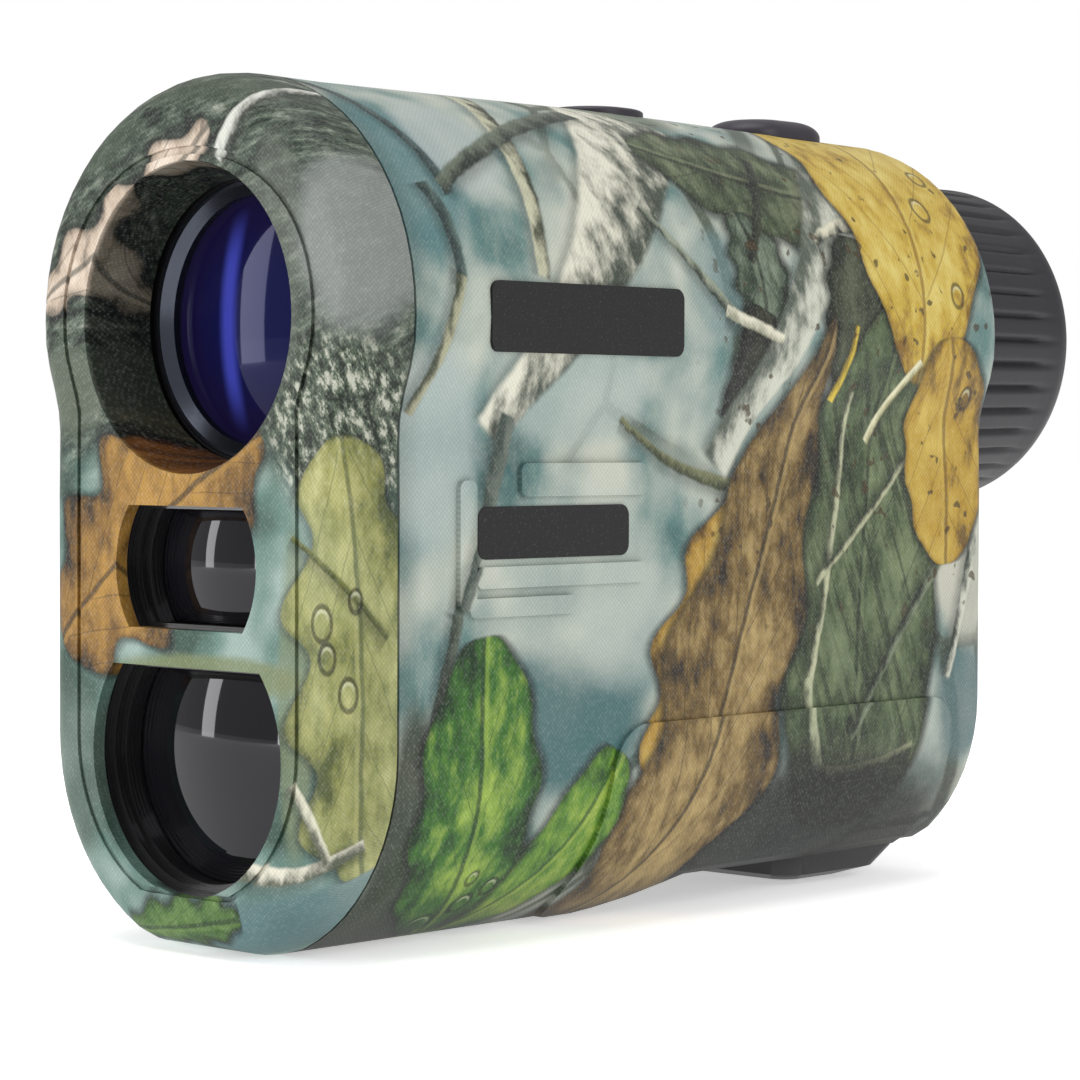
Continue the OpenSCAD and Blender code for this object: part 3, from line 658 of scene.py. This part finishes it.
def sheet_mesh(name, points, wrap_cols=False):
    """A grid of points, rows by columns by 3, as a smooth mesh of quads.

    wrap_cols joins the last column to the first. Points that meet are merged.
    """
    rows, cols = points.shape[:2]
    r = np.arange(rows - 1)
    c = np.arange(cols if wrap_cols else cols - 1)
    a = (r[:, None] * cols + c[None, :]).ravel()
    b = (r[:, None] * cols + ((c + 1) % cols)[None, :]).ravel()
    d = a + cols
    e = b + cols
    faces = np.stack([a, b, e, d], 1).astype(np.int32)
    mesh = bpy.data.meshes.new(name)
    mesh.vertices.add(rows * cols)
    mesh.vertices.foreach_set("co", points.reshape(-1).astype(np.float32))
    mesh.loops.add(faces.size)
    mesh.loops.foreach_set("vertex_index", faces.ravel())
    mesh.polygons.add(len(faces))
    mesh.polygons.foreach_set("loop_start", np.arange(0, faces.size, 4, dtype=np.int32))
    mesh.update(calc_edges=True)
    mesh.validate()
    shape = bmesh.new()
    shape.from_mesh(mesh)
    bmesh.ops.remove_doubles(shape, verts=shape.verts, dist=1e-7)
    bmesh.ops.recalc_face_normals(shape, faces=shape.faces)
    shape.to_mesh(mesh)
    shape.free()
    mesh.shade_smooth()
    mesh.set_sharp_from_angle(angle=SURFACE_EDGE)
    obj = bpy.data.objects.new(name, mesh)
    bpy.context.scene.collection.objects.link(obj)
    return obj


def turned(name, profile, at_h, count, shape=None):
    """A profile of (y, r) points turned about a line along Y at height at_h.

    x = r cos a, z = at_h + r sin a. shape(y, r, a) may return another r.
    """
    y, r = np.array(profile, float).T
    a = np.linspace(0, 2 * math.pi, count, endpoint=False)
    yy, aa = np.meshgrid(y, a, indexing="ij")
    rr = np.repeat(r[:, None], count, 1)
    if shape is not None:
        rr = shape(yy, rr, aa)
    points = np.stack([rr * np.cos(aa), yy, at_h + rr * np.sin(aa)], -1)
    return sheet_mesh(name, points, wrap_cols=True)


def smooth(t):
    """0 to 1 with level ends: t t (3 - 2 t)."""
    t = np.clip(t, 0, 1)
    return t * t * (3 - 2 * t)


def domed_lens(name, y, radius, curve, thick, at_h, cut=None, top=None):
    """A lens: a spherical front of the given curve, an edge and a flat back.

    Front: depth = curve - sqrt(curve^2 - r^2). cut flattens it above and below, top
    above only, by holding the height to those limits.
    """
    r = radius * np.sin(np.linspace(0, math.pi / 2, 48))
    sag = curve - np.sqrt(curve ** 2 - r ** 2)
    back = y + max(thick, sag[-1] + 0.6 * MM)
    profile = [(y + s, k) for s, k in zip(sag, r)] + [(back, radius), (back, 0)]
    obj = turned(name, profile, at_h, 128)
    if cut is not None or top is not None:
        mesh = obj.data
        co = np.empty(len(mesh.vertices) * 3, np.float32)
        mesh.vertices.foreach_get("co", co)
        co = co.reshape(-1, 3)
        low = -cut if cut is not None else -1.0
        co[:, 2] = at_h + np.clip(co[:, 2] - at_h, low, cut if cut is not None else top)
        mesh.vertices.foreach_set("co", co.ravel())
        mesh.update()
    return obj


# ---- Settings --------------------------------------------------------------
class RangefinderSizes(bpy.types.PropertyGroup):
    """Sizes of the pieces that are made here."""

    rib_count: IntProperty(name="Grip ribs", default=42,
                           description="Grooves round the focusing ring")
    rib_depth: FloatProperty(name="Groove depth", default=0.5 * MM, unit="LENGTH",
                             description="Depth of a groove of the focusing ring")
    grip_r: FloatProperty(name="Grip radius", default=16.6 * MM, unit="LENGTH",
                          description="Radius of the focusing ring at the body")
    grip_r_back: FloatProperty(name="Grip rear radius", default=16.2 * MM, unit="LENGTH",
                               description="Radius of the focusing ring at the eyecup")
    grip_start: FloatProperty(name="Grip start", default=89.85,
                              description="Millimetres from the front rim to the ring")
    grip_end: FloatProperty(name="Grip end", default=101.6,
                            description="Millimetres from the front rim to the eyecup")
    length: FloatProperty(name="Length", default=107.0,
                          description="Millimetres from the front rim to the eyecup's back")
    cup_round: FloatProperty(name="Eyecup rounding", default=3.3 * MM, unit="LENGTH",
                             description="Radius of the eyecup's outer edge")
    button_b: FloatProperty(name="Button half width", default=4.2 * MM, unit="LENGTH",
                            description="Half the width of both buttons")
    mode_a: FloatProperty(name="Mode button half length", default=4.8 * MM, unit="LENGTH",
                          description="Half the length of the front button")
    measure_a: FloatProperty(name="Measuring button half length", default=6.4 * MM,
                             unit="LENGTH", description="Half the length of the rear button")


class RangefinderColours(bpy.types.PropertyGroup):
    """Colours that a user may change."""

    rubber: FloatVectorProperty(name="Grip rubber", subtype="COLOR", size=3,
                                default=rgb(21, 19, 24)[:3],
                                description="Colour of the focusing ring and eyecup")
    button: FloatVectorProperty(name="Button rubber", subtype="COLOR", size=3,
                                default=rgb(38, 33, 44)[:3],
                                description="Colour of the two buttons")
    floor: FloatVectorProperty(name="Floor", subtype="COLOR", size=3, default=(0.92, 0.92, 0.92),
                               description="Colour of the floor")


class RangefinderView(bpy.types.PropertyGroup):
    """Where the camera stands."""

    azimuth: FloatProperty(name="Azimuth", default=math.radians(43.0), subtype="ANGLE",
                           description="Angle round from the front towards the labelled side")
    elevation: FloatProperty(name="Elevation", default=math.radians(1.8), subtype="ANGLE",
                             description="Angle above the ground")
    roll: FloatProperty(name="Roll", default=math.radians(0.2), subtype="ANGLE",
                        description="Turn about the line of sight")
    distance: FloatProperty(name="Distance", default=0.314, unit="LENGTH",
                            description="From the camera to the point that it looks at")
    aim_y: FloatProperty(name="Aim along", default=-10.2 * MM, unit="LENGTH",
                         description="Y of the point that the camera looks at")
    aim_z: FloatProperty(name="Aim height", default=33.65 * MM, unit="LENGTH",
                         description="Height of the point that the camera looks at")
    lens: FloatProperty(name="Focal length", default=113.3,
                        description="Focal length in millimetres on a 36 mm sensor")


# ---- Operators -------------------------------------------------------------
class Stage(bpy.types.Operator):
    """Makes the floor, the lights and the camera"""

    bl_idname = "rangefinder.stage"
    bl_label = "Stage"

    def execute(self, context):
        scene = context.scene
        look = scene.rangefinder_view
        az, el, roll = look.azimuth, look.elevation, look.roll
        back = np.array([math.sin(az) * math.cos(el), -math.cos(az) * math.cos(el), math.sin(el)])
        right = np.cross(-back, [0, 0, 1.0])
        right /= np.linalg.norm(right)
        up = np.cross(right, -back)
        right, up = (right * math.cos(roll) + up * math.sin(roll),
                     up * math.cos(roll) - right * math.sin(roll))
        data = bpy.data.cameras.new("camera")
        data.lens = look.lens
        data.sensor_width = 36.0
        data.clip_start = 0.01
        camera = bpy.data.objects.new("camera", data)
        scene.collection.objects.link(camera)
        spot = np.array([0, look.aim_y, look.aim_z]) + back * look.distance
        camera.matrix_world = Matrix([
            [right[0], up[0], back[0], spot[0]], [right[1], up[1], back[1], spot[1]],
            [right[2], up[2], back[2], spot[2]], [0, 0, 0, 1]])
        scene.camera = camera
        side = np.linspace(-4, 4, 9)
        gx, gy = np.meshgrid(side, side, indexing="ij")
        floor = sheet_mesh("floor", np.stack([gx, gy, gx * 0 - 0.0002], -1))
        f = Finish("floor_paint")
        tone = tuple(scene.rangefinder_colours.floor) + (1.0,)
        floor.data.materials.append(f.done(Base_Color=tone, Roughness=0.9,
                                           Emission_Color=tone, Emission_Strength=0.5))
        world = bpy.data.worlds.new("studio")
        world.use_nodes = True
        tree = world.node_tree
        sky = tree.nodes["Background"]
        sky.inputs["Color"].default_value = (1.0, 1.0, 1.0, 1.0)
        seen = tree.nodes.new("ShaderNodeLightPath")
        level = tree.nodes.new("ShaderNodeMapRange")
        level.inputs["To Min"].default_value = 0.62
        level.inputs["To Max"].default_value = 1.0
        tree.links.new(seen.outputs["Is Camera Ray"], level.inputs["Value"])
        tree.links.new(level.outputs[0], sky.inputs["Strength"])
        scene.world = world
        scene.view_settings.view_transform = "Standard"
        lamps = (("key_light", (-0.17, -0.86, 0.13), (0, -0.05, 0.03), 0.17, 0.6, 4.4),
                 ("side_light", (0.9, 0.15, 0.45), (0, 0, 0.03), 0.5, 0.6, 3.0),
                 ("top_light", (0.0, -0.1, 0.9), (0, 0, 0.03), 0.7, 0.7, 4.0),
                 ("front_strip", (-0.60, -0.58, 0.16), (0, -0.05, 0.04), 0.09, 0.34, 0.6))
        for name, place, aim, wide, high, power in lamps:
            lamp = bpy.data.lights.new(name, "AREA")
            lamp.shape = "RECTANGLE"
            lamp.size = wide
            lamp.size_y = high
            lamp.energy = power
            obj = bpy.data.objects.new(name, lamp)
            scene.collection.objects.link(obj)
            away = np.array(place) - np.array(aim)
            away /= np.linalg.norm(away)
            across = np.cross([0, 0, 1.0], away) if abs(away[2]) < 0.99 else np.array([1.0, 0, 0])
            across /= np.linalg.norm(across)
            upward = np.cross(away, across)
            obj.matrix_world = Matrix([
                [across[0], upward[0], away[0], place[0]],
                [across[1], upward[1], away[1], place[1]],
                [across[2], upward[2], away[2], place[2]], [0, 0, 0, 1]])
        return {"FINISHED"}


class Shells(bpy.types.Operator):
    """Makes the printed bezel and housing, and the seal between them"""

    bl_idname = "rangefinder.shells"
    bl_label = "Shells"

    def execute(self, context):
        merged("front_bezel", "printed_shell", "bezel_print")
        merged("main_housing", "printed_shell")
        merged("bezel_seal", "seal_rubber")
        return {"FINISHED"}


class Labels(bpy.types.Operator):
    """Makes the two black plates on the side"""

    bl_idname = "rangefinder.labels"
    bl_label = "Label plates"

    def execute(self, context):
        for node in ("upper_label", "lower_label"):
            merged(node, "label_black")
        return {"FINISHED"}


class SightingLens(bpy.types.Operator):
    """Makes the sighting lens with its metal ring and barrel"""

    bl_idname = "rangefinder.sighting_lens"
    bl_label = "Sighting lens"

    def execute(self, context):
        merged("objective_barrel", "black_barrel")
        merged("objective_ring", "lens_ring")
        merged("objective_rear_lens", "coated_glass")
        low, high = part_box("objective_front_lens")
        lens = domed_lens("objective_front_lens_piece", low.y, (high.x - low.x) / 2,
                          SIGHTING_CURVE, high.y - low.y, AXIS_H)
        dress(lens, "objective_front_lens", "coated_glass", "objective_glass")
        return {"FINISHED"}


class LaserWindows(bpy.types.Operator):
    """Makes the emitter and receiver barrels with their lenses"""

    bl_idname = "rangefinder.laser_windows"
    bl_label = "Laser windows"

    def execute(self, context):
        merged("emitter_barrel", "black_barrel")
        merged("receiver_barrel", "black_barrel")
        low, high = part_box("emitter_lens")
        lens = domed_lens("emitter_lens_piece", low.y, EMITTER_R, EMITTER_CURVE,
                          high.y - low.y, (low.z + high.z) / 2, cut=(high.z - low.z) / 2)
        dress(lens, "emitter_lens", "coated_glass")
        low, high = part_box("receiver_lens")
        centre = low.z + RECEIVER_R
        lens = domed_lens("receiver_lens_piece", low.y, RECEIVER_R, RECEIVER_CURVE,
                          high.y - low.y, centre, top=high.z - centre)
        dress(lens, "receiver_lens", "coated_glass")
        return {"FINISHED"}


class FocusGrip(bpy.types.Operator):
    """Makes the ribbed focusing ring and the eyecup"""

    bl_idname = "rangefinder.focus_grip"
    bl_label = "Focusing ring and eyecup"

    def execute(self, context):
        s = context.scene.rangefinder_sizes
        start, end, back = along(s.grip_start), along(s.grip_end), along(s.length)
        fade = end + 2.6 * MM

        def grooved(y, r, a):
            """r less the depth where a narrow cosine crest stands, fading to a point."""
            crest = (0.5 + 0.5 * np.cos(a * s.rib_count)) ** 6
            width = smooth((fade - y) / (6 * MM)) * smooth((y - start - 0.4 * MM) / MM)
            outer = r > s.grip_r_back - 2 * MM
            return r - s.rib_depth * crest * width * outer

        wall = [(start, RING_BORE), (start, s.grip_r - 0.6 * MM)]
        t = np.linspace(0, 1, 40)
        wall += [(start + 0.6 * MM * math.sin(k), s.grip_r - 0.6 * MM * (1 - math.sin(k)))
                 for k in np.linspace(0.2, math.pi / 2, 6)]
        wall += [(start + 0.7 * MM + k * (end - start - 0.7 * MM),
                  s.grip_r + (s.grip_r_back - s.grip_r) * k) for k in t]
        wall += [(end, RING_BORE), (start, RING_BORE)]
        ring = turned("focus_ring_piece", wall, AXIS_H, s.rib_count * 14, grooved)
        dress(ring, "focus_ring", "grip_rubber")
        lip = [(end, CUP_SEAT), (end, s.grip_r_back)]
        lip += [(end + k * (back - end - s.cup_round), s.grip_r_back)
                for k in np.linspace(0.1, 1, 12)]
        lip += [(back - s.cup_round * (1 - math.sin(k)),
                 s.grip_r_back - s.cup_round * (1 - math.cos(k)))
                for k in np.linspace(0.1, math.pi / 2, 14)]
        lip += [(back, 11.7 * MM), (back - 0.2 * MM, 11.2 * MM), (back - 0.8 * MM, CUP_MOUTH),
                (end + 1.6 * MM, CUP_MOUTH), (end + 1.6 * MM, CUP_SEAT), (end, CUP_SEAT)]
        cup = turned("eyecup_piece", lip, AXIS_H, s.rib_count * 14, grooved)
        dress(cup, "eyecup", "grip_rubber")
        return {"FINISHED"}


class EyeOptics(bpy.types.Operator):
    """Makes the eyepiece tube with its lenses and seal"""

    bl_idname = "rangefinder.eye_optics"
    bl_label = "Eyepiece optics"

    def execute(self, context):
        merged("eyepiece_tube", "frame_metal")
        merged("eye_lens_cell", "black_barrel")
        merged("eyepiece_seal", "seal_rubber")
        merged("field_lens", "coated_glass")
        merged("eye_lens", "coated_glass")
        return {"FINISHED"}


def button(name, node, centre, half_long, half_wide, rise, crown):
    """A button: a stadium outline swept over a dished dome.

    Ring k of the dome has the outline shrunk by q(k); its height is the dome's
    rise times (1 - q^3) less a shallow dish in the middle.
    """
    low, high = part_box(node)
    top = high.z - rise
    a = np.linspace(0, 2 * math.pi, 144, endpoint=False)
    straight = half_long - half_wide
    ox = half_wide * np.cos(a)
    oy = half_wide * np.sin(a) + np.where(np.sin(a) >= 0, straight, -straight)
    rings = [(1.0, low.z + 0.7 * MM - top)]
    rings += [(1.0, -0.1 * MM)]
    rings += [(1 - crown * (1 - math.cos(k)), rise * math.sin(k))
              for k in np.linspace(0.05, math.pi / 2, 12)]
    edge = 1 - crown
    rings += [(edge * k, rise - 0.35 * MM * float(smooth((1 - k) * 1.6)))
              for k in np.linspace(0.95, 0, 14)]
    points = np.array([np.stack([ox * q, centre + oy * q, ox * 0 + top + h], -1)
                       for q, h in rings])
    foot = np.stack([ox, centre + oy, ox * 0 + low.z + 0.7 * MM], -1)
    wide = np.stack([ox * (half_wide + 0.8 * MM) / half_wide,
                     centre + oy * (half_long + 0.8 * MM) / half_long,
                     ox * 0 + low.z + 0.7 * MM], -1)
    base = wide.copy()
    base[:, 2] = low.z
    middle = base.copy()
    middle[:, 0] = 0
    middle[:, 1] = centre
    points = np.concatenate([[middle, base, wide, foot], points])
    return dress(sheet_mesh(name, points, wrap_cols=True), node, "button_rubber")


class Buttons(bpy.types.Operator):
    """Makes the two buttons, their seal and their switches"""

    bl_idname = "rangefinder.buttons"
    bl_label = "Buttons"

    def execute(self, context):
        s = context.scene.rangefinder_sizes
        button("mode_button_piece", "mode_button", along(MODE_Y), s.mode_a, s.button_b,
               0.4 * MM, 0.3)
        button("measure_button_piece", "measure_button", along(MEASURE_Y), s.measure_a, s.button_b,
               1.5 * MM, 0.5)
        merged("button_seal", "seal_rubber")
        merged("button_switches", "steel")
        return {"FINISHED"}


class BatteryBay(bpy.types.Operator):
    """Makes the battery, its tube and the door under it"""

    bl_idname = "rangefinder.battery_bay"
    bl_label = "Battery bay"

    def execute(self, context):
        for node, slot in (("battery_tube", "bay_plastic"), ("battery", "cell_wrap"),
                           ("battery_top_contact", "gold_contact"),
                           ("battery_door", "door_plastic"), ("door_contact", "gold_contact"),
                           ("door_seal", "seal_rubber"), ("door_hinge_pin", "steel")):
            merged(node, slot)
        return {"FINISHED"}


class InnerWorks(bpy.types.Operator):
    """Makes the frame, prisms, display, laser parts and boards inside"""

    bl_idname = "rangefinder.inner_works"
    bl_label = "Inner works"

    def execute(self, context):
        for node, slot in (("optical_frame", "frame_metal"), ("front_prism", "prism_glass"),
                           ("rear_prism", "prism_glass"), ("reticle_display", "chip_black"),
                           ("frame_screws", "steel"), ("laser_diode", "gold_contact"),
                           ("light_detector", "gold_contact"), ("main_board", "circuit_board"),
                           ("board_parts", "chip_black"), ("laser_board", "circuit_board")):
            merged(node, slot)
        return {"FINISHED"}


class StrapLug(bpy.types.Operator):
    """Makes the lug for the wrist strap"""

    bl_idname = "rangefinder.strap_lug"
    bl_label = "Strap lug"

    def execute(self, context):
        merged("strap_lug", "lug_metal")
        return {"FINISHED"}


class RangefinderPanel(bpy.types.Panel):
    """Lists the sizes, colours and steps"""

    bl_idname = "VIEW3D_PT_rangefinder"
    bl_label = "Laser rangefinder"
    bl_space_type = "VIEW_3D"
    bl_region_type = "UI"
    bl_category = "Rangefinder"

    def draw(self, context):
        for group in (context.scene.rangefinder_sizes, context.scene.rangefinder_colours,
                      context.scene.rangefinder_view):
            box = self.layout.box()
            for key in group.__annotations__:
                box.prop(group, key)
        for step in STEPS:
            self.layout.operator(step.bl_idname)


STEPS = (Stage, Shells, Labels, SightingLens, LaserWindows, FocusGrip, EyeOptics, Buttons,
         BatteryBay, InnerWorks, StrapLug)
GROUPS = (("rangefinder_sizes", RangefinderSizes), ("rangefinder_colours", RangefinderColours),
          ("rangefinder_view", RangefinderView))


def register():
    for name, group in GROUPS:
        bpy.utils.register_class(group)
        setattr(bpy.types.Scene, name, PointerProperty(type=group))
    for step in STEPS:
        bpy.utils.register_class(step)
    bpy.utils.register_class(RangefinderPanel)


def unregister():
    bpy.utils.unregister_class(RangefinderPanel)
    for step in reversed(STEPS):
        bpy.utils.unregister_class(step)
    for name, group in reversed(GROUPS):
        delattr(bpy.types.Scene, name)
        bpy.utils.unregister_class(group)


def main():
    register()
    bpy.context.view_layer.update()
    for step in STEPS:
        getattr(bpy.ops.rangefinder, step.bl_idname.split(".")[1])()


if __name__ == "__main__":
    main()
